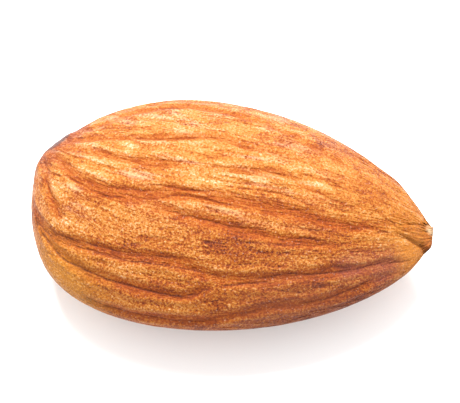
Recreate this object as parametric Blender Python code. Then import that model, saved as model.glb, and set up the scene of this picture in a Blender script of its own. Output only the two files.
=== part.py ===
"""One whole almond kernel in its brown skin, lying on its lower broad face.

The kernel is a single grown piece, so it is a single solid. Its long axis runs
along X with the point at +X and the blunt end at -X, its breadth runs along Y,
and the surface that it lies on is z = 0. The origin is on that surface, under
the middle of the kernel.
"""

import math

import bmesh
import bpy
from mathutils import Vector

# Driving dimensions, in metres.
BODY_LENGTH = 0.0240
BREADTH = 0.0144
THICKNESS = 0.0082

# How fast the outline fills out behind the blunt end and closes towards the
# point. Smaller powers give a blunter end. In plan the two edges differ: the
# one with the scar, at +Y, has the more sloping shoulder.
SCAR_EDGE_POWERS = (0.505, 0.68)
FAR_EDGE_POWERS = (0.39, 0.58)
SIDE_VIEW_POWERS = (0.45, 0.64)

# The edge where the two broad faces meet is thinner than an ellipse by this share.
EDGE_THINNING = 0.20

# The middle line bows towards +Y, and the blunt end leans the same way.
BOW = 0.00007
LEAN = 0.0010
LEAN_LENGTH = 0.0008

# The dark scar where the seed's veins start is a low swelling on the +Y shoulder
# of the blunt end.
SCAR_STATION = 0.03
SCAR_HEIGHT = 0.0003
SCAR_REACH = 0.0010

# The short blunt stub at the point, where the seed was joined to its stalk.
STUB_LENGTH = 0.00025
STUB_RADIUS = 0.00075
STUB_BLUNTNESS = 4

# The flat that the kernel rests on is cut this far above its lowest point.
FOOT_DEPTH = 0.00006

# The sphere that the kernel is shaped from.
SEGMENTS = 60
RINGS = 42

TINY = 1e-9


def clear_scene():
    """Removes the objects that are already in the scene."""
    for obj in list(bpy.data.objects):
        bpy.data.objects.remove(obj)


def skin_material():
    """Warm brown, dry and slightly rough."""
    material = bpy.data.materials.new("almond_skin")
    material.use_nodes = True
    shader = material.node_tree.nodes["Principled BSDF"]
    shader.inputs["Base Color"].default_value = (0.56, 0.23, 0.07, 1.0)
    shader.inputs["Roughness"].default_value = 0.62
    shader.inputs["Metallic"].default_value = 0.0
    return material


def fullness(station, powers):
    """Share of the full half size at a station, which runs from 0 at the blunt end to 1 at the point."""
    blunt, point = powers
    widest = blunt / (blunt + point)
    here = station**blunt * (1.0 - station) ** point
    most = widest**blunt * (1.0 - widest) ** point
    return here / most


def half_breadth(station, across):
    """Half breadth at a station, for a point from -1 at the far edge to 1 at the scar's edge."""
    share = (1.0 + across) / 2.0
    full = share * fullness(station, SCAR_EDGE_POWERS) + (1.0 - share) * fullness(station, FAR_EDGE_POWERS)
    return BREADTH / 2.0 * full


def half_thickness(station):
    return THICKNESS / 2.0 * fullness(station, SIDE_VIEW_POWERS)


def middle_line(station):
    """Sideways offset of the kernel's middle line at a station."""
    lean = LEAN * math.exp(-station * BODY_LENGTH / LEAN_LENGTH)
    return BOW * math.sin(math.pi * station) + lean


def scar_point():
    """The middle of the scar, on the +Y edge."""
    y = middle_line(SCAR_STATION) + half_breadth(SCAR_STATION, 1.0)
    return Vector((BODY_LENGTH * SCAR_STATION, y, 0.0))


def body_point(unit):
    """Where a point of the unit sphere, with its poles on X, goes on the kernel."""
    station = min(max((1.0 + unit.x) / 2.0, 0.0), 1.0)
    around = max(math.hypot(unit.y, unit.z), TINY)
    across, up = unit.y / around, unit.z / around
    return Vector((
        BODY_LENGTH * station,
        middle_line(station) + half_breadth(station, across) * across,
        half_thickness(station) * up * (1.0 - EDGE_THINNING * across * across),
    ))


def raise_scar(mesh):
    """Raises the low swelling at the scar."""
    mesh.normal_update()
    centre = scar_point()
    for vertex in mesh.verts:
        share = math.exp(-(((vertex.co - centre).length / SCAR_REACH) ** 2))
        vertex.co += vertex.normal * SCAR_HEIGHT * share


def pull_out_stub(mesh):
    """Draws the last of the point out into the short blunt stub."""
    for vertex in mesh.verts:
        radius = math.hypot(vertex.co.y, vertex.co.z)
        if vertex.co.x > BODY_LENGTH / 2.0 and radius < STUB_RADIUS:
            vertex.co.x += STUB_LENGTH * (1.0 - (radius / STUB_RADIUS) ** STUB_BLUNTNESS)


def cut_foot(mesh):
    """Cuts the small flat that the kernel rests on."""
    lowest = min(vertex.co.z for vertex in mesh.verts)
    cut = bmesh.ops.bisect_plane(
        mesh,
        geom=mesh.verts[:] + mesh.edges[:] + mesh.faces[:],
        dist=TINY,
        plane_co=(0.0, 0.0, lowest + FOOT_DEPTH),
        plane_no=(0.0, 0.0, -1.0),
        clear_outer=True,
    )
    rim = [item for item in cut["geom_cut"] if isinstance(item, bmesh.types.BMEdge)]
    bmesh.ops.contextual_create(mesh, geom=rim)
    bmesh.ops.recalc_face_normals(mesh, faces=mesh.faces[:])


def set_over_origin(mesh):
    """Moves the kernel so that its foot is at z = 0 and its outline is centred on the origin."""
    low = [min(vertex.co[axis] for vertex in mesh.verts) for axis in range(3)]
    high = [max(vertex.co[axis] for vertex in mesh.verts) for axis in range(3)]
    shift = (-(low[0] + high[0]) / 2.0, -(low[1] + high[1]) / 2.0, -low[2])
    bmesh.ops.translate(mesh, vec=shift, verts=mesh.verts[:])


def kernel_mesh():
    """A sphere with its poles on the long axis, shaped into the kernel."""
    mesh = bmesh.new()
    bmesh.ops.create_uvsphere(mesh, u_segments=SEGMENTS, v_segments=RINGS, radius=1.0)
    for vertex in mesh.verts:
        x, y, z = vertex.co
        vertex.co = body_point(Vector((-z, y, x)))
    bmesh.ops.recalc_face_normals(mesh, faces=mesh.faces[:])
    raise_scar(mesh)
    pull_out_stub(mesh)
    cut_foot(mesh)
    set_over_origin(mesh)
    return mesh


def build_kernel(collection):
    mesh = kernel_mesh()
    data = bpy.data.meshes.new("almond_kernel")
    mesh.to_mesh(data)
    mesh.free()
    data.shade_smooth()
    data.materials.append(skin_material())
    collection.objects.link(bpy.data.objects.new("almond_kernel", data))


def main():
    clear_scene()
    collection = bpy.data.collections.new("almond")
    bpy.context.scene.collection.children.link(collection)
    build_kernel(collection)


main()
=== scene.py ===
"""The almond's visible skin: one wrinkled, veined sheet of brown skin over the whole kernel."""
import math

import bpy
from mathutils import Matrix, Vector


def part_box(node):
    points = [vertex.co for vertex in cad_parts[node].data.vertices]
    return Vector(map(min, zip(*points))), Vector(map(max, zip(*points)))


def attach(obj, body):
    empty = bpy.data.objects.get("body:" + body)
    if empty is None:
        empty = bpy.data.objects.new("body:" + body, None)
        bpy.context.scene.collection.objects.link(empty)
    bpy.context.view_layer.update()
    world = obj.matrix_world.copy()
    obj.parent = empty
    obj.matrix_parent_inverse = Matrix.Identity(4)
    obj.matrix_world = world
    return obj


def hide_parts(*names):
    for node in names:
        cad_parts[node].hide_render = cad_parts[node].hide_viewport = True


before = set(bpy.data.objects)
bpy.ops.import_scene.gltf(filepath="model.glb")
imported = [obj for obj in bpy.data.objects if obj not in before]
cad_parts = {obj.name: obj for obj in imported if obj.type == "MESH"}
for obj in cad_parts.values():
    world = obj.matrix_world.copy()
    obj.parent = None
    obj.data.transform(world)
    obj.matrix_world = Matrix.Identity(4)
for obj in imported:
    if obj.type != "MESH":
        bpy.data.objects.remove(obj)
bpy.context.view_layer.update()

MM = 0.001
LOW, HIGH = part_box("almond_kernel")
MIDDLE = (LOW + HIGH) / 2
HALF = (HIGH - LOW) / 2

# ---------------------------------------------------------------- places on the kernel


def place(along, across, up=0.5):
    """A place by its shares: along from blunt end to point, across from -1 to 1, up from 0 to 1."""
    return Vector((
        LOW.x + along * (HIGH.x - LOW.x),
        MIDDLE.y + across * HALF.y,
        LOW.z + up * (HIGH.z - LOW.z),
    ))


SCAR = place(0.035, 0.42, 0.52)
SCAR_MARK = place(0.040, 0.51, 0.58)
POINT = place(0.985, -0.03, 0.52)
STUB_ROOT = place(0.885, -0.06, 0.73)

# ---------------------------------------------------------------- node workbench


class Value:
    """One output of a node, which takes part in sums as a number does."""

    def __init__(self, bench, socket):
        self.bench = bench
        self.socket = socket

    def output(self, name):
        """Another output of the same node."""
        return Value(self.bench, self.socket.node.outputs[name])

    def __add__(self, other):
        return self.bench.math("ADD", self, other)

    def __sub__(self, other):
        return self.bench.math("SUBTRACT", self, other)

    def __rsub__(self, other):
        return self.bench.math("SUBTRACT", other, self)

    def __mul__(self, other):
        return self.bench.math("MULTIPLY", self, other)

    def __truediv__(self, other):
        return self.bench.math("DIVIDE", self, other)

    def __pow__(self, other):
        return self.bench.math("POWER", self, other)

    def __neg__(self):
        return self.bench.math("MULTIPLY", self, -1.0)

    def __abs__(self):
        return self.bench.math("ABSOLUTE", self)

    __radd__ = __add__
    __rmul__ = __mul__

    def at_least(self, other):
        return self.bench.math("MAXIMUM", self, other)

    def at_most(self, other):
        return self.bench.math("MINIMUM", self, other)

    def within(self, low, high):
        """0 at low, 1 at high, eased in between. Low may be the larger."""
        settings = {"interpolation_type": "SMOOTHSTEP"}
        if low > high:
            return 1 - self.within(high, low)
        sockets = {"Value": self, "From Min": low, "From Max": high}
        return self.bench.node("ShaderNodeMapRange", settings, sockets)

    def hump(self, width):
        """1 where the value is zero, falling off over the width on both sides."""
        return self.bench.math("EXPONENT", -((self / width) ** 2))


class Bench:
    """Adds nodes to one tree."""

    def __init__(self, tree):
        self.tree = tree

    def node(self, kind, settings=None, sockets=None, output=0):
        """A node by its type, with its settings first, then the values or links of its sockets."""
        made = self.tree.nodes.new(kind)
        settings = dict(settings or {})
        stops = settings.pop("stops", None)
        for name, setting in settings.items():
            setattr(made, name, setting)
        if stops:
            self.set_stops(made.color_ramp, stops)
        for name, value in (sockets or {}).items():
            if isinstance(value, Value):
                self.tree.links.new(value.socket, made.inputs[name])
            else:
                made.inputs[name].default_value = value
        return Value(self, made.outputs[output])

    def set_stops(self, ramp, stops):
        """Places a ramp's colours, given as a list of position and colour."""
        while len(ramp.elements) > 1:
            ramp.elements.remove(ramp.elements[-1])
        for number, (position, colour) in enumerate(stops):
            element = ramp.elements[0] if number == 0 else ramp.elements.new(position)
            element.position = position
            element.color = colour

    def math(self, operation, *values):
        return self.node("ShaderNodeMath", {"operation": operation}, dict(enumerate(values)))

    def vector_math(self, operation, *values, output=0):
        return self.node("ShaderNodeVectorMath", {"operation": operation}, dict(enumerate(values)), output)

    def vector(self, x, y, z):
        return self.node("ShaderNodeCombineXYZ", None, {"X": x, "Y": y, "Z": z})

    def parts(self, vector):
        """The three components of a vector."""
        split = self.node("ShaderNodeSeparateXYZ", None, {"Vector": vector})
        return [split.output(axis) for axis in "XYZ"]

    def distance(self, vector, point):
        return self.vector_math("DISTANCE", vector, tuple(point), output="Value")

    def noise(self, vector, scale, detail=2.0, roughness=0.5, warp=0.0):
        """Smooth noise, from -1 to 1 about zero."""
        sockets = {"Vector": vector, "Scale": scale, "Detail": detail, "Roughness": roughness}
        return self.node("ShaderNodeTexNoise", None, {**sockets, "Distortion": warp}) * 2 - 1

    def stretched(self, vector, along, across, shift=0.0):
        """Grain coordinates drawn out: few changes along the grain, many across it."""
        moved = self.vector_math("ADD", vector, (shift, shift, shift))
        return self.vector_math("MULTIPLY", moved, (along, across, across))

    def mix(self, factor, first, second):
        """A mix of two colours."""
        return self.node("ShaderNodeMix", {"data_type": "RGBA"}, {0: factor, 6: first, 7: second}, 2)


# ---------------------------------------------------------------- carving with modifiers


def mesh_tree(name):
    """A new tree of mesh nodes, with the mesh that comes into it."""
    tree = bpy.data.node_groups.new(name, "GeometryNodeTree")
    for side in ("INPUT", "OUTPUT"):
        tree.interface.new_socket("Mesh", in_out=side, socket_type="NodeSocketGeometry")
    bench = Bench(tree)
    return bench, bench.node("NodeGroupInput")


def keep(bench, mesh, name, value, kind="FLOAT"):
    """The mesh with a value kept on each of its points, under a name."""
    sockets = {"Geometry": mesh, "Name": name, "Value": value}
    return bench.node("GeometryNodeStoreNamedAttribute", {"data_type": kind, "domain": "POINT"}, sockets)


def kept(bench, name, kind="FLOAT"):
    return bench.node("GeometryNodeInputNamedAttribute", {"data_type": kind}, {"Name": name})


def work(piece, bench, result):
    """Puts a finished tree on a piece as a modifier, and applies it."""
    end = bench.tree.nodes.new("NodeGroupOutput")
    bench.tree.links.new(result.socket, end.inputs["Mesh"])
    modifier = piece.modifiers.new(bench.tree.name, "NODES")
    modifier.node_group = bench.tree
    apply(piece, modifier)
    bpy.data.node_groups.remove(bench.tree)


def only(piece):
    """Selects this piece and nothing else."""
    bpy.ops.object.select_all(action="DESELECT")
    piece.select_set(True)
    bpy.context.view_layer.objects.active = piece


def apply(piece, modifier):
    only(piece)
    bpy.ops.object.modifier_apply(modifier=modifier.name)


# ---------------------------------------------------------------- the blank skin


def smooth_form():
    """A smooth copy of the kernel's solid, to fit the skin over."""
    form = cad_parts["almond_kernel"].copy()
    form.data = form.data.copy()
    form.name = "form"
    form.parent = None
    bpy.context.scene.collection.objects.link(form)
    only(form)
    bpy.ops.object.mode_set(mode="EDIT")
    bpy.ops.mesh.select_all(action="SELECT")
    bpy.ops.mesh.remove_doubles(threshold=0.01 * MM)
    bpy.ops.mesh.tris_convert_to_quads(face_threshold=math.radians(60), shape_threshold=math.radians(60))
    bpy.ops.object.mode_set(mode="OBJECT")
    rounding = form.modifiers.new("rounding", "SUBSURF")
    rounding.levels = 2
    rounding.render_levels = 2
    apply(form, rounding)
    return form


SKIN_AROUND = 560
SKIN_ALONG = 176
FAN = 0.4
EVENING = 0.2
SCAR_TURN = math.radians(30)
SCAR_TURN_FADE = 1.6
LOOSE_FIT = 1.25


def blank_skin():
    """A ball with its poles on the long axis, round the kernel."""
    bpy.ops.object.select_all(action="DESELECT")
    bpy.ops.mesh.primitive_uv_sphere_add(
        segments=SKIN_AROUND, ring_count=SKIN_ALONG, radius=1.0, calc_uvs=False,
        location=MIDDLE, rotation=(0, -math.pi / 2, 0), scale=(HALF.z, HALF.y, HALF.x),
    )
    skin = bpy.context.object
    skin.name = "almond_skin"
    bpy.ops.object.transform_apply(location=True, rotation=True, scale=True)
    return skin


def comb_grain(skin):
    """Keeps the way of the grain on the skin, and draws its blunt pole round to the scar.

    The grain is kept in millimetres: first along the kernel, then two numbers that change only across it.
    """
    bench, mesh = mesh_tree("grain")
    here = bench.vector_math("SUBTRACT", bench.node("GeometryNodeInputPosition"), tuple(MIDDLE))
    ball = bench.vector_math("DIVIDE", here, tuple(HALF))
    x, y, z = bench.parts(ball)
    girth = (y * y + z * z + 1e-8) ** 0.5
    fan = girth ** (FAN - 1)
    grain = bench.vector(x * (HALF.x / MM), y * fan * (HALF.y / MM), z * fan * (HALF.z / MM))
    mesh = keep(bench, mesh, "grain", grain, "FLOAT_VECTOR")
    evened = bench.node("ShaderNodeVectorRotate", {"rotation_type": "X_AXIS"}, {
        "Vector": ball, "Angle": 2 * EVENING * y * z / (girth * girth)})
    turned = bench.node("ShaderNodeVectorRotate", {"rotation_type": "Z_AXIS"}, {
        "Vector": evened, "Angle": -SCAR_TURN * ((1 - x) / 2) ** SCAR_TURN_FADE})
    loose = bench.vector_math("MULTIPLY", turned, tuple(HALF * LOOSE_FIT))
    there = bench.vector_math("ADD", loose, tuple(MIDDLE))
    work(skin, bench, bench.node("GeometryNodeSetPosition", None, {"Geometry": mesh, "Position": there}))


def fit_skin(skin, form):
    """Shrinks the loose skin onto the form."""
    fit = skin.modifiers.new("fit", "SHRINKWRAP")
    fit.target = form
    fit.wrap_method = "NEAREST_SURFACEPOINT"
    apply(skin, fit)


# ---------------------------------------------------------------- veins

# A vein or crease is its strength, then where it runs, as shares along and across the kernel.
# Veins are soft sunken bands, and creases are thin lines in and between them.
UPPER_VEINS = [
    (1.00, [(0.05, 0.32), (0.11, 0.09), (0.18, -0.03), (0.26, -0.08), (0.32, -0.05), (0.45, -0.04),
            (0.54, -0.07), (0.64, -0.09), (0.74, -0.12), (0.86, -0.11)]),
    (0.75, [(0.30, -0.14), (0.38, -0.21), (0.45, -0.24), (0.53, -0.28), (0.62, -0.32), (0.75, -0.31)]),
    (0.85, [(0.005, -0.06), (0.03, -0.22), (0.065, -0.36), (0.10, -0.43), (0.18, -0.50), (0.27, -0.56),
            (0.38, -0.58), (0.47, -0.66), (0.54, -0.66), (0.60, -0.63), (0.68, -0.56), (0.76, -0.49),
            (0.84, -0.41), (0.92, -0.29)]),
    (0.65, [(0.015, -0.14), (0.04, -0.28), (0.07, -0.45), (0.125, -0.60), (0.19, -0.70), (0.27, -0.76),
            (0.38, -0.82), (0.44, -0.77), (0.47, -0.70)]),
    (0.60, [(0.16, -0.83), (0.22, -0.90), (0.30, -0.95), (0.41, -0.96), (0.50, -0.92), (0.59, -0.84),
            (0.72, -0.72), (0.84, -0.52), (0.91, -0.38)]),
    (0.50, [(0.02, 0.30), (0.04, 0.09), (0.05, -0.03), (0.065, -0.13), (0.08, -0.22), (0.09, -0.30)]),
    (0.50, [(0.08, 0.36), (0.19, 0.28), (0.29, 0.22), (0.37, 0.23)]),
    (0.38, [(0.40, 0.22), (0.48, 0.22), (0.545, 0.24), (0.605, 0.23), (0.665, 0.18), (0.70, 0.12),
            (0.77, 0.06)]),
    (0.45, [(0.07, 0.44), (0.11, 0.46), (0.20, 0.46), (0.29, 0.47), (0.36, 0.49), (0.44, 0.52),
            (0.52, 0.47), (0.59, 0.44), (0.66, 0.38)]),
    (0.40, [(0.08, 0.50), (0.15, 0.60), (0.25, 0.76), (0.35, 0.84), (0.48, 0.80), (0.60, 0.68),
            (0.72, 0.50), (0.83, 0.30)]),
]

UPPER_CREASES = [
    # both sides of the vein down the middle, and its branch
    (0.9, [(0.12, 0.12), (0.18, 0.04), (0.21, -0.01), (0.26, -0.03), (0.35, -0.02)]),
    (0.9, [(0.08, 0.12), (0.14, 0.00), (0.19, -0.08), (0.24, -0.10)]),
    (1.0, [(0.22, -0.06), (0.30, -0.10), (0.37, -0.05), (0.43, -0.06), (0.52, -0.10), (0.60, -0.11)]),
    (0.9, [(0.27, 0.01), (0.32, 0.02), (0.39, 0.00), (0.44, 0.01), (0.50, 0.07)]),
    (0.8, [(0.51, 0.06), (0.57, 0.06), (0.63, 0.05), (0.68, 0.00), (0.73, -0.05)]),
    (0.7, [(0.71, -0.11), (0.79, -0.11), (0.84, -0.11)]),
    (0.9, [(0.32, -0.18), (0.38, -0.20), (0.43, -0.23), (0.49, -0.26), (0.53, -0.27)]),
    (0.8, [(0.53, -0.38), (0.61, -0.36), (0.68, -0.34), (0.75, -0.29)]),
    (0.6, [(0.62, -0.33), (0.68, -0.28), (0.74, -0.28)]),
    # towards the edge with the scar
    (0.6, [(0.16, 0.33), (0.22, 0.26), (0.29, 0.20), (0.34, 0.22)]),
    (0.7, [(0.24, 0.27), (0.32, 0.25), (0.41, 0.25), (0.47, 0.24), (0.53, 0.25)]),
    (0.7, [(0.53, 0.25), (0.58, 0.25), (0.63, 0.22), (0.67, 0.17)]),
    (0.8, [(0.70, 0.14), (0.74, 0.08), (0.78, 0.06), (0.82, 0.02)]),
    (0.8, [(0.25, 0.47), (0.32, 0.47), (0.41, 0.51), (0.46, 0.52), (0.51, 0.48)]),
    (0.5, [(0.52, 0.45), (0.57, 0.45), (0.61, 0.41), (0.66, 0.39)]),
    (0.6, [(0.44, 0.74), (0.48, 0.73), (0.52, 0.70), (0.59, 0.68)]),
    (0.5, [(0.17, 0.57), (0.23, 0.57), (0.32, 0.59)]),
    (0.5, [(0.75, 0.21), (0.78, 0.18)]),
    # both sides of the vein that goes round the blunt end
    (0.7, [(0.015, -0.20), (0.05, -0.345), (0.09, -0.44)]),
    (0.7, [(0.03, 0.15), (0.045, 0.02), (0.06, -0.10), (0.075, -0.19)]),
    (0.9, [(0.06, -0.36), (0.12, -0.43), (0.19, -0.49), (0.27, -0.54), (0.38, -0.55)]),
    (0.9, [(0.11, -0.46), (0.18, -0.53), (0.26, -0.59), (0.35, -0.61), (0.45, -0.64), (0.50, -0.66)]),
    (1.0, [(0.03, -0.19), (0.04, -0.34), (0.09, -0.54), (0.15, -0.65), (0.24, -0.75), (0.38, -0.82),
           (0.45, -0.77), (0.47, -0.71)]),
    (0.8, [(0.53, -0.64), (0.59, -0.63), (0.64, -0.57), (0.71, -0.54), (0.79, -0.47), (0.86, -0.37),
           (0.91, -0.30), (0.94, -0.29)]),
    (0.8, [(0.49, -0.72), (0.55, -0.68), (0.61, -0.65)]),
    (0.7, [(0.73, -0.51), (0.76, -0.45), (0.80, -0.44)]),
    # along the far edge
    (0.7, [(0.16, -0.83), (0.23, -0.91), (0.33, -0.96), (0.41, -0.97), (0.51, -0.93), (0.59, -0.84)]),
    (0.6, [(0.60, -0.69), (0.65, -0.69), (0.69, -0.68)]),
    (0.7, [(0.68, -0.76), (0.76, -0.67), (0.85, -0.49)]),
    # short ones on the broad lobes
    (0.5, [(0.29, -0.42), (0.32, -0.40), (0.36, -0.41)]),
    (0.5, [(0.24, -0.50), (0.26, -0.47), (0.30, -0.45)]),
    (0.6, [(0.35, -0.36), (0.39, -0.39), (0.41, -0.38)]),
    (0.6, [(0.43, -0.41), (0.47, -0.41), (0.50, -0.41)]),
    (0.6, [(0.49, -0.57), (0.53, -0.55), (0.59, -0.51)]),
    (0.6, [(0.61, -0.44), (0.66, -0.39), (0.72, -0.36)]),
    # round the stub at the point
    (0.6, [(0.80, 0.11), (0.83, 0.10)]),
    (1.0, [(0.83, 0.13), (0.86, 0.03), (0.89, -0.01), (0.91, -0.05), (0.94, -0.06), (0.98, -0.05)]),
    (0.9, [(0.85, -0.14), (0.87, -0.11), (0.89, -0.10)]),
    (1.0, [(0.90, -0.11), (0.93, -0.12), (0.96, -0.14), (0.98, -0.14)]),
    (0.6, [(0.92, -0.09), (0.95, -0.09), (0.98, -0.08)]),
    (0.4, [(0.87, 0.18), (0.91, 0.17), (0.96, 0.14)]),
    (1.0, [(0.875, -0.37), (0.90, -0.33), (0.925, -0.295), (0.945, -0.27)]),
]


def swept_route(level, swing, phase, start=0.06, end=0.92):
    """A vein of the lower face, from the scar to the point, that bows out to a share across."""
    route = []
    for step in range(9):
        along = start + (end - start) * step / 8
        spread = math.sin(math.pi * along) ** 0.7
        from_scar = 0.42 * (1 - along) ** 4
        wander = swing * math.sin(2 * math.pi * along + phase) * spread
        route.append((along, level * spread + from_scar + wander))
    return route


LOWER_VEINS = [
    (0.95, swept_route(-0.05, 0.05, 0.4)),
    (0.70, swept_route(-0.34, 0.06, 1.9)),
    (0.90, swept_route(-0.62, 0.04, 3.0)),
    (0.60, swept_route(0.24, 0.06, 5.1)),
    (0.75, swept_route(0.50, 0.05, 2.4)),
    (0.50, swept_route(-0.84, 0.03, 0.9)),
    (0.50, swept_route(0.74, 0.03, 4.2)),
    (0.45, swept_route(0.93, 0.02, 1.0)),
]


CREASE_OFFSET = 0.035
CREASE_PLACES = 6


def creases_beside(veins):
    """Two broken creases for each vein, one on each side of it."""
    creases = []
    for number, (strength, route) in enumerate(veins):
        for side in (-1, 1):
            first = (number + (side > 0)) % 3
            part = route[first:first + CREASE_PLACES]
            shifted = [(along, across + side * CREASE_OFFSET) for along, across in part]
            creases.append((0.9 * strength, shifted))
    return creases


def between(before, start, end, after, t):
    """A number a share t of the way from start to end, on a smooth line through all four."""
    slope = end - before
    bend = 2 * before - 5 * start + 4 * end - after
    twist = 3 * start - before - 3 * end + after
    return 0.5 * (2 * start + slope * t + bend * t ** 2 + twist * t ** 3)


def smooth_route(route, steps=10):
    """Many places on a smooth line through the places of a route."""
    ends = [route[0]] + route + [route[-1]]
    places = [route[0]]
    for number in range(len(route) - 1):
        four = ends[number:number + 4]
        for step in range(1, steps + 1):
            places.append(tuple(between(*shares, step / steps) for shares in zip(*four)))
    return places


GUIDE_STEP = 0.15 * MM


def guide_curves(form, name, upper, lower):
    """Curves that lie on the form's upper and lower faces. Their radius is the vein's strength."""
    data = bpy.data.curves.new(name, "CURVE")
    data.dimensions = "3D"
    faces = [(1, *vein) for vein in upper] + [(-1, *vein) for vein in lower]
    for facing, strength, route in faces:
        places = smooth_route(route)
        spline = data.splines.new("POLY")
        spline.points.add(len(places) - 1)
        for number, (along, across) in enumerate(places):
            start = place(along, across) + Vector((0, 0, facing * HALF.z * 2))
            struck, spot, _, _ = form.ray_cast(start, Vector((0, 0, -facing)))
            spot = spot if struck else form.closest_point_on_mesh(place(along, across))[1]
            spline.points[number].co = (*spot, 1)
            taper = math.sin(math.pi * (number + 2) / (len(places) + 3)) ** 0.5
            spline.points[number].radius = strength * taper
    guides = bpy.data.objects.new(name, data)
    bpy.context.scene.collection.objects.link(guides)
    return guides


def vein_reach(bench, guides, here):
    """Distance to the nearest guide, and how strong the vein is there."""
    curve = bench.node("GeometryNodeObjectInfo", None, {"Object": guides}, "Geometry")
    curve = bench.node("GeometryNodeResampleCurve", {"mode": "LENGTH"}, {
        "Curve": curve, "Length": GUIDE_STEP})
    curve = keep(bench, curve, "strength", bench.node("GeometryNodeInputRadius"))
    wire = bench.node("GeometryNodeCurveToMesh", None, {"Curve": curve})
    away = bench.node("GeometryNodeProximity", {"target_element": "EDGES"}, {
        "Geometry": wire, "Sample Position": here}, "Distance")
    nearest = bench.node("GeometryNodeSampleNearest", {"domain": "POINT"}, {
        "Geometry": wire, "Sample Position": here})
    strength = bench.node("GeometryNodeSampleIndex", {"domain": "POINT"}, {
        "Geometry": wire, "Value": kept(bench, "strength"), "Index": nearest})
    return away, strength


# ---------------------------------------------------------------- relief

VEIN_HALF_WIDTH = 0.26 * MM
VEIN_WOBBLE = 0.20 * MM
CREASE_HALF_WIDTH = 0.08 * MM
CREASE_WOBBLE = 0.09 * MM
STUB_END = HIGH.x - 0.14 * MM
# A swelling is its place, its reach and its height, both in millimetres.
SWELLINGS = [
    (SCAR, 2.3, 0.42),
    (place(0.90, 0.42), 1.8, 0.10),
    (place(0.36, 1.0), 3.5, 0.06),
]

# A patch is its place, its reach across the grain in millimetres, and how much paler it is. The paler patches
# are partly the skin's own paler tone and partly painted highlight on the upper face.
PATCHES = [
    # paler
    (place(0.45, 0.15, 0.99), 1.3, 0.24),
    (place(0.53, 0.16, 0.98), 1.2, 0.18),
    (place(0.64, 0.20, 0.93), 1.2, 0.15),
    (place(0.71, 0.21, 0.89), 1.2, 0.10),
    (place(0.92, -0.10, 0.67), 1.0, 0.22),
    (place(0.86, -0.21, 0.75), 1.2, 0.16),
    (place(0.07, -0.02, 0.78), 1.3, 0.20),
    (place(0.08, -0.30, 0.78), 1.1, 0.32),
    (place(0.24, -0.68, 0.79), 1.2, 0.18),
    (place(0.43, -0.57, 0.88), 1.1, 0.18),
    (place(0.14, 0.16, 0.89), 1.5, 0.08),
    (place(0.42, -0.07, 0.99), 1.0, 0.18),
    (place(0.21, 0.30, 0.91), 1.4, 0.16),
    (place(0.45, 0.36, 0.95), 0.9, 0.22),
    (place(0.38, -0.28, 0.97), 0.9, 0.14),
    (place(0.24, 0.40, 0.91), 2.2, 0.06),
    (place(0.31, -0.66, 0.84), 1.1, 0.13),
    (place(0.83, -0.02, 0.80), 1.0, 0.12),
    (place(0.20, -0.30, 0.92), 2.4, 0.10),
    # darker
    (place(0.50, -0.41, 0.93), 1.6, -0.16),
    (place(0.56, -0.47, 0.91), 1.2, -0.18),
    (place(0.83, -0.62, 0.55), 1.6, -0.20),
    (place(0.74, -0.23, 0.86), 1.3, -0.16),
    (place(0.46, -0.82, 0.75), 1.3, -0.16),
    (place(0.47, -0.99, 0.55), 1.6, -0.15),
    (place(0.65, 0.53, 0.83), 1.5, -0.13),
    (place(0.83, 0.20, 0.77), 1.4, -0.17),
    (place(0.75, 0.60, 0.70), 1.6, -0.17),
    (place(0.26, -0.06, 0.97), 1.2, -0.11),
    (place(0.59, 0.87, 0.63), 1.0, -0.14),
    (place(0.69, 0.03, 0.92), 0.9, -0.14),
]
PATCH_SHAPE = (0.6, 1.0, 1.0)


def line_where_zero(value, width):
    """Thin lines along the places where a noise crosses zero."""
    return (1 - abs(value) / width).at_least(0)


def wobbled(bench, here, millimetres, scale, most):
    """Places moved about by up to a distance, so that what follows a curve isn't drawn too true."""
    sockets = {"Vector": millimetres, "Scale": scale, "Detail": 3.0}
    sway = bench.node("ShaderNodeTexNoise", None, sockets, "Color")
    sway = bench.vector_math("SUBTRACT", sway, (0.5,) * 3)
    return bench.vector_math("ADD", here, bench.vector_math("MULTIPLY", sway, (2 * most,) * 3))


def stub_place(x, y):
    """How far down the stub, in millimetres, and how far across it, from -1 to 1 between its borders."""
    down = (x - STUB_ROOT.x) / MM
    across = ((y - STUB_ROOT.y) / MM - 0.07 * down) / (0.26 * down + 0.08).at_least(0.05)
    return down, across


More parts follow.
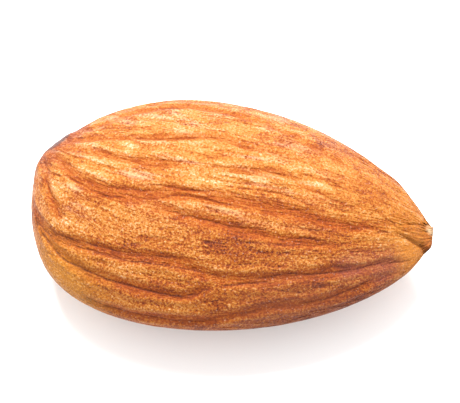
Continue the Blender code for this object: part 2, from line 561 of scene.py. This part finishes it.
def carve(skin, veins, creases):
    """Sinks the veins and wrinkles into the skin, and keeps the marks that colour it."""
    bench, mesh = mesh_tree("relief")
    here = bench.node("GeometryNodeInputPosition")
    outward = bench.node("GeometryNodeInputNormal")
    grain = kept(bench, "grain", "FLOAT_VECTOR")
    millimetres = bench.vector_math("MULTIPLY", here, (1 / MM,) * 3)

    # veins: a soft trough, with a low shoulder on each side
    away, strength = vein_reach(bench, veins, wobbled(bench, here, millimetres, 0.6, VEIN_WOBBLE))
    uneven = 1 + 0.5 * bench.noise(millimetres, 0.7, 2.0)
    reach = away * uneven / (VEIN_HALF_WIDTH * (0.4 + 0.6 * strength))
    present = strength.within(0.0, 0.6)
    trough = reach.within(2.4, 0.2) * present
    band = reach.within(2.6, 0.8) * present
    shoulder = (reach - 2.8).hump(0.9) * present

    # drawn creases: thin lines, broken here and there unless they are strong
    away, strength = vein_reach(bench, creases, wobbled(bench, here, millimetres, 2.0, CREASE_WOBBLE))
    broken = bench.noise(millimetres, 1.1, 2.0).within(-0.35, 0.05)
    whole = strength.within(0.80, 0.95)
    drawn_strength = strength * (0.35 + 0.65 * broken.at_least(whole))
    drawn = away.hump(CREASE_HALF_WIDTH) * drawn_strength

    # swells and wrinkles everywhere, along the grain
    swell = bench.noise(bench.stretched(grain, 0.10, 0.50), 1.0, 2.0, 0.5, 0.3)
    long_waves = bench.noise(bench.stretched(grain, 0.09, 0.60, 3.7), 1.0, 2.0, 0.5, 0.4)
    long_lines = line_where_zero(long_waves, 0.06)
    long_fade = bench.noise(bench.stretched(grain, 0.15, 0.45, 9.1), 1.0, 1.0).within(-0.10, 0.30)
    short_waves = bench.noise(bench.stretched(grain, 0.42, 1.6, 1.3), 1.0, 2.0, 0.55, 0.6)
    short_lines = line_where_zero(short_waves, 0.13)
    short_fade = bench.noise(bench.stretched(grain, 0.5, 0.9, 6.4), 1.0, 1.0).within(-0.10, 0.35)
    wrinkle = bench.noise(bench.stretched(grain, 0.9, 3.0, 2.9), 1.0, 2.0, 0.55)

    # the height of the relief, in millimetres, which is calmer at the scar, the rim and the point
    clear = bench.distance(here, SCAR).within(0.5 * MM, 2.0 * MM)
    facing = abs(bench.parts(outward)[2]).within(0.1, 0.7)
    calm = (0.55 + 0.45 * facing) * (0.2 + 0.8 * bench.distance(here, POINT).within(0.5 * MM, 3.5 * MM))
    long_crease = long_lines * long_fade * calm
    short_crease = short_lines * short_fade * calm
    height = clear * (
        0.08 * swell
        - 0.11 * trough
        - 0.055 * drawn
        + 0.04 * shoulder
        - 0.035 * long_crease
        - 0.04 * short_crease
        + 0.025 * wrinkle * calm
    ) + 0.03
    scar_reach = bench.distance(here, SCAR_MARK)
    height = height - 0.03 * scar_reach.within(0.9 * MM, 0.55 * MM) + 0.03 * (scar_reach / MM - 1.1).hump(0.2)
    for centre, swelling_reach, swelling_height in SWELLINGS:
        height = height + swelling_height * bench.distance(here, centre).within(swelling_reach * MM, 0)

    # the stub stands up between two borders
    x, y, z = bench.parts(here)
    down, across = stub_place(x, y)
    on_stub = down.within(0.1, 1.2) * (1.15 - abs(across)).within(0, 0.3)
    border = (abs(across) - 1.1).hump(0.18) * down.within(0.1, 0.8)
    height = height + 0.09 * on_stub - 0.08 * border

    # marks for the finish
    drifted = bench.vector_math("MULTIPLY", wobbled(bench, here, millimetres, 0.9, 0.5 * MM), PATCH_SHAPE)
    paler = 0
    for centre, patch_reach, amount in PATCHES:
        shaped = [part * share for part, share in zip(centre, PATCH_SHAPE)]
        paler = paler + amount * bench.distance(drifted, shaped).within(patch_reach * MM, 0)
    # the paler patches are partly painted highlight
    mesh = keep(bench, mesh, "paler", paler)
    # the steep sides, which the finish darkens as painted shade
    mesh = keep(bench, mesh, "rim", abs(bench.parts(outward)[2]).within(0.75, 0.20))
    mesh = keep(bench, mesh, "vein", band * clear)
    mesh = keep(bench, mesh, "vein_reach", reach.at_most(4))
    mesh = keep(bench, mesh, "crease", (0.6 * long_crease + 0.5 * short_crease).at_most(1))
    mesh = keep(bench, mesh, "line_reach", (away / MM).at_most(1))
    mesh = keep(bench, mesh, "line_strength", drawn_strength * clear)
    # the swell of the relief, which the finish paints paler on crests and darker in hollows
    mesh = keep(bench, mesh, "lift", swell)
    # the skin moves out by its height, stops at the broken end, and stays above the table
    raised = bench.node("ShaderNodeVectorMath", {"operation": "SCALE"}, {0: outward, "Scale": height * MM})
    x, y, z = bench.parts(bench.vector_math("ADD", here, raised))
    torn = 0.10 * MM * bench.noise(millimetres, 2.2, 3.0, 0.6)
    there = bench.vector(x.at_most(STUB_END + torn), y, z.at_least(LOW.z))
    work(skin, bench, bench.node("GeometryNodeSetPosition", None, {"Geometry": mesh, "Position": there}))


# ---------------------------------------------------------------- the skin's finish


def shade(red, green, blue):
    """A colour from its screen values, 0 to 255, in the light's own scale."""
    return tuple(((part / 255 + 0.055) / 1.055) ** 2.4 for part in (red, green, blue)) + (1.0,)


def skin_finish():
    material = bpy.data.materials.new("brown_almond_skin")
    material.use_nodes = True
    bench = Bench(material.node_tree)
    shader = material.node_tree.nodes["Principled BSDF"]

    spot = bench.node("ShaderNodeTexCoord", None, None, "Object")
    millimetres = bench.vector_math("MULTIPLY", spot, (1 / MM,) * 3)
    grain = bench.node("ShaderNodeAttribute", {"attribute_name": "grain"}, None, "Vector")

    def mark(name):
        return bench.node("ShaderNodeAttribute", {"attribute_name": name}, None, "Fac")

    vein = mark("vein")
    reach = mark("vein_reach")
    lift = mark("lift")

    # patterns of the skin itself, most of them drawn out along the grain
    mottle = bench.noise(millimetres, 0.8, 3.0, 0.6)
    blotch = bench.noise(bench.stretched(grain, 0.5, 1.3, 8.2), 1.0, 2.0, 0.6)
    streak = bench.noise(bench.stretched(grain, 0.8, 3.8, 4.4), 1.0, 3.0, 0.6)
    grit = bench.noise(millimetres, 7.5, 2.0, 0.75)
    thread_waves = bench.noise(bench.stretched(grain, 0.8, 2.6, 7.7), 1.0, 2.0, 0.6, 0.5)
    thread = line_where_zero(thread_waves, 0.20)
    thread = thread * bench.noise(bench.stretched(grain, 0.9, 1.2, 2.2), 1.0, 1.0).within(-0.20, 0.25)
    hair_waves = bench.noise(bench.stretched(grain, 0.30, 1.9, 5.9), 1.0, 2.0, 0.55, 0.4)
    hair = line_where_zero(hair_waves, 0.13)
    hair = hair * bench.noise(bench.stretched(grain, 0.5, 1.0, 3.3), 1.0, 1.0).within(-0.15, 0.20)
    # painted highlight: grainy cream streaks that stand in for the light on the ridges
    painted_highlight = bench.noise(bench.stretched(grain, 0.32, 1.5, 6.6), 1.0, 3.0, 0.6) + 0.6 * grit
    painted_highlight = painted_highlight.within(0.04, 0.40)
    # painted glints: tiny pale specks that stand in for sparkles of light
    painted_glint = bench.noise(millimetres, 8.5, 1.0, 0.5).within(0.30, 0.55)

    # thin dark lines: fibres in the veins, and the creases
    fibre = 0
    for centre, width, shift in ((0.2, 0.22, 0.0), (0.95, 0.18, 5.0), (1.6, 0.2, 9.0)):
        broken = bench.noise(bench.stretched(grain, 0.8, 0.8, shift), 1.0, 2.0).within(-0.15, 0.25)
        fibre = fibre + (reach + 0.25 * streak - centre).hump(width) * broken
    fibre = fibre * vein
    line = (mark("line_reach") + 0.02 * grit).hump(0.05) * mark("line_strength")
    crease = (mark("crease") + 0.6 * fibre + 0.9 * line).at_most(1)

    def near(centre, inner, outer):
        """1 within one distance of a place, down to 0 at another, with a broken edge."""
        ragged = bench.distance(spot, centre) + 0.25 * outer * MM * mottle
        return ragged.within(outer * MM, inner * MM)

    # where the skin differs: the scar, the stub at the point, and a few broad patches; the darker lower edge
    # and low side are partly painted shade
    crack = bench.noise(bench.stretched(grain, 1.2, 2.0, 3.1), 1.0, 3.0, 0.7)
    from_scar = bench.distance(spot, SCAR_MARK) / MM + 0.35 * crack
    scar = from_scar.within(1.15, 0.75) * (0.72 + 0.28 * crack.within(-0.3, 0.2))
    scar_ring = (from_scar - 0.92).hump(0.12)
    scar_halo = near(SCAR_MARK, 1.1, 2.7)
    ochre = near(place(0.08, -0.75, 0.4), 1.5, 5.0)
    # the lower edge browner and darker: partly the skin's own browner colour, partly painted shade on the
    # side turned from the light
    lower_edge_brown_and_shade = near(place(0.70, -0.95, 0.45), 2.0, 6.0)
    tip = near(POINT, 1.2, 4.5)
    golden = near(place(0.94, -0.22, 0.58), 0.3, 1.5)
    plum = near(place(0.88, -0.37, 0.62), 0.4, 1.9) + near(place(0.80, -0.42, 0.70), 0.3, 1.5)
    torn = near(place(0.990, 0.03, 0.57), 0.22, 0.52)

    x, y, z = bench.parts(spot)
    down, across = stub_place(x, y)
    upper_half = z.within(LOW.z + 3.0 * MM, LOW.z + 3.8 * MM)
    on_stub = down.within(0.0, 0.6) * (1.2 - abs(across)).within(0, 0.25) * upper_half
    strand = bench.noise(bench.vector(0.5 * down, 1.9 * across, 0.0), 1.0, 3.0, 0.65)
    stub_edge = (abs(across) - 1.1).hump(0.14) * down.within(0.1, 0.6) * upper_half
    rough_end = near(place(0.985, -0.09, 0.50), 0.35, 0.95)
    # the low side: rougher, pitted skin there, and also a painted shade that darkens the tone below
    low_side = y.within(MIDDLE.y + 1.5 * MM, MIDDLE.y - 3.5 * MM)
    pit = bench.noise(millimetres, 5.5, 1.0, 0.5).within(0.20, 0.50) * low_side

    # one number from dark to pale, and the colour that goes with it
    cloud = (0.16 * streak + 0.12 * blotch + 0.10 * mottle).at_least(-0.07)
    # the tone follows the swell: painted highlight on the crests and painted shade in the hollows
    tone = 0.59 + 0.14 * lift - 0.07 * vein - 0.34 * crease + cloud
    tone = tone + (0.55 + 0.25 * low_side + 0.25 * ochre) * grit
    tone = tone - 0.18 * thread - (0.14 + 0.16 * vein) * hair
    # the lower edge and the low side are darkened partly as painted shade
    tone = tone - 0.10 * lower_edge_brown_and_shade - 0.22 * scar_halo - 0.16 * pit - 0.10 * low_side
    # the steep rim darkened as painted shade
    tone = tone + mark("paler") - 0.07 * mark("rim")
    tone = tone + on_stub * (0.45 * strand - 0.06) - 0.35 * stub_edge
    skin = bench.node("ShaderNodeValToRGB", {"stops": [
        (0.00, shade(68, 26, 14)),
        (0.22, shade(108, 45, 12)),
        (0.42, shade(135, 70, 18)),
        (0.60, shade(154, 98, 38)),
        (0.78, shade(170, 119, 72)),
        (1.00, shade(190, 158, 132)),
    ]}, {"Fac": tone})
    # local colours over it: painted highlight on the ridges and painted glints, as well as the skin's own
    # colours
    # the ridges of the upper face, away from veins, creases and the low side, where the painted highlight
    # goes
    raised = (1 - vein) * (1 - low_side) * (1 - crease) * x.within(MIDDLE.x + 8 * MM, MIDDLE.x)
    # painted highlight on the upper ridges
    skin = bench.mix(0.40 * painted_highlight * raised, skin, shade(190, 155, 126))
    skin = bench.mix(0.40 * vein, skin, shade(138, 62, 14))
    skin = bench.mix(0.45 * ochre, skin, shade(168, 114, 32))
    # the lower edge: some real browning and some painted shade
    skin = bench.mix(0.35 * lower_edge_brown_and_shade, skin, shade(104, 56, 40))
    skin = bench.mix(0.40 * tip, skin, shade(164, 102, 36))
    skin = bench.mix(0.45 * golden, skin, shade(172, 108, 40))
    skin = bench.mix(0.40 * plum.at_most(1), skin, shade(104, 58, 56))
    skin = bench.mix(0.35 * scar_halo, skin, shade(126, 62, 36))
    # painted glints
    skin = bench.mix(0.30 * painted_glint, skin, shade(196, 160, 140))
    line_shade = bench.mix(low_side, shade(112, 46, 16), shade(68, 32, 28))
    skin = bench.mix((0.6 + 0.2 * low_side) * line, skin, line_shade)
    skin = bench.mix(0.45 * rough_end, skin, shade(134, 64, 30))
    skin = bench.mix(0.88 * scar, skin, shade(64, 44, 46))
    skin = bench.mix(0.60 * scar_ring, skin, shade(50, 30, 28))
    skin = bench.mix(0.75 * torn * (0.35 + 0.65 * strand.within(-0.25, 0.15)), skin, shade(206, 178, 140))

    bench.tree.links.new(skin.socket, shader.inputs["Base Color"])
    rough = 0.45 + 0.15 * crease - 0.2 * grit
    bench.tree.links.new(rough.socket, shader.inputs["Roughness"])
    fine = 0.9 * grit + 0.5 * streak - 0.4 * thread - 0.8 * crease + 1.2 * strand * on_stub
    bump = bench.node("ShaderNodeBump", None, {"Strength": 1.0, "Distance": 0.06 * MM, "Height": fine})
    bench.tree.links.new(bump.socket, shader.inputs["Normal"])
    shader.inputs["Specular IOR Level"].default_value = 0.10
    return material


# ---------------------------------------------------------------- floor, light and camera

FLOOR_SIZE = 4.0
SKY_STRENGTH = 1.45


def pale_floor():
    bpy.ops.object.select_all(action="DESELECT")
    bpy.ops.mesh.primitive_plane_add(size=FLOOR_SIZE, location=(0, 0, LOW.z))
    floor = bpy.context.object
    floor.name = "floor"
    material = bpy.data.materials.new("pale_floor")
    material.use_nodes = True
    shader = material.node_tree.nodes["Principled BSDF"]
    shader.inputs["Base Color"].default_value = (0.90, 0.90, 0.90, 1)
    shader.inputs["Roughness"].default_value = 0.9
    shader.inputs["Specular IOR Level"].default_value = 0.1
    floor.data.materials.append(material)


def soft_light(name, direction, distance, size, power):
    """A square soft box that looks at the kernel."""
    light = bpy.data.lights.new(name, "AREA")
    light.shape = "SQUARE"
    light.size = size
    light.energy = power
    lamp = bpy.data.objects.new(name, light)
    away = Vector(direction).normalized()
    lamp.location = MIDDLE + away * distance
    lamp.rotation_euler = away.to_track_quat("Z", "Y").to_euler()
    bpy.context.scene.collection.objects.link(lamp)


def studio_light():
    world = bpy.data.worlds.new("studio")
    world.use_nodes = True
    world.node_tree.nodes["Background"].inputs["Color"].default_value = (1, 1, 1, 1)
    world.node_tree.nodes["Background"].inputs["Strength"].default_value = SKY_STRENGTH
    bpy.context.scene.world = world
    soft_light("key", (-0.15, 0.62, 1.0), 0.30, 0.14, 2.6)
    bpy.context.scene.view_settings.view_transform = "Standard"


CAMERA_AZIMUTH = math.radians(5.4)
CAMERA_ELEVATION = math.radians(70)
CAMERA_DISTANCE = 0.155
CAMERA_LENS = 202.5
CAMERA_LEFT = 0.17 * MM
CAMERA_UP = 0.94 * MM


def camera():
    """A long lens that looks down on the kernel, which sits a little below the picture's middle."""
    flat = math.cos(CAMERA_ELEVATION)
    right = Vector((math.cos(CAMERA_AZIMUTH), math.sin(CAMERA_AZIMUTH), 0))
    back = Vector((right.y * flat, -right.x * flat, math.sin(CAMERA_ELEVATION)))
    up = back.cross(right)
    data = bpy.data.cameras.new("camera")
    data.lens = CAMERA_LENS
    data.clip_start = 0.01
    view = bpy.data.objects.new("camera", data)
    view.location = MIDDLE + back * CAMERA_DISTANCE - right * CAMERA_LEFT + up * CAMERA_UP
    view.rotation_euler = back.to_track_quat("Z", "Y").to_euler()
    bpy.context.scene.collection.objects.link(view)
    bpy.context.scene.camera = view


# ---------------------------------------------------------------- making


def make_skin():
    form = smooth_form()
    veins = guide_curves(form, "veins", UPPER_VEINS, LOWER_VEINS)
    creases = guide_curves(form, "creases", UPPER_CREASES, creases_beside(LOWER_VEINS))
    skin = blank_skin()
    comb_grain(skin)
    fit_skin(skin, form)
    carve(skin, veins, creases)
    only(skin)
    bpy.ops.object.shade_smooth()
    for helper in (veins, creases, form):
        bpy.data.objects.remove(helper)
    skin.data.materials.append(skin_finish())
    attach(skin, "root")
    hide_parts("almond_kernel")


camera()
studio_light()
pale_floor()
make_skin()
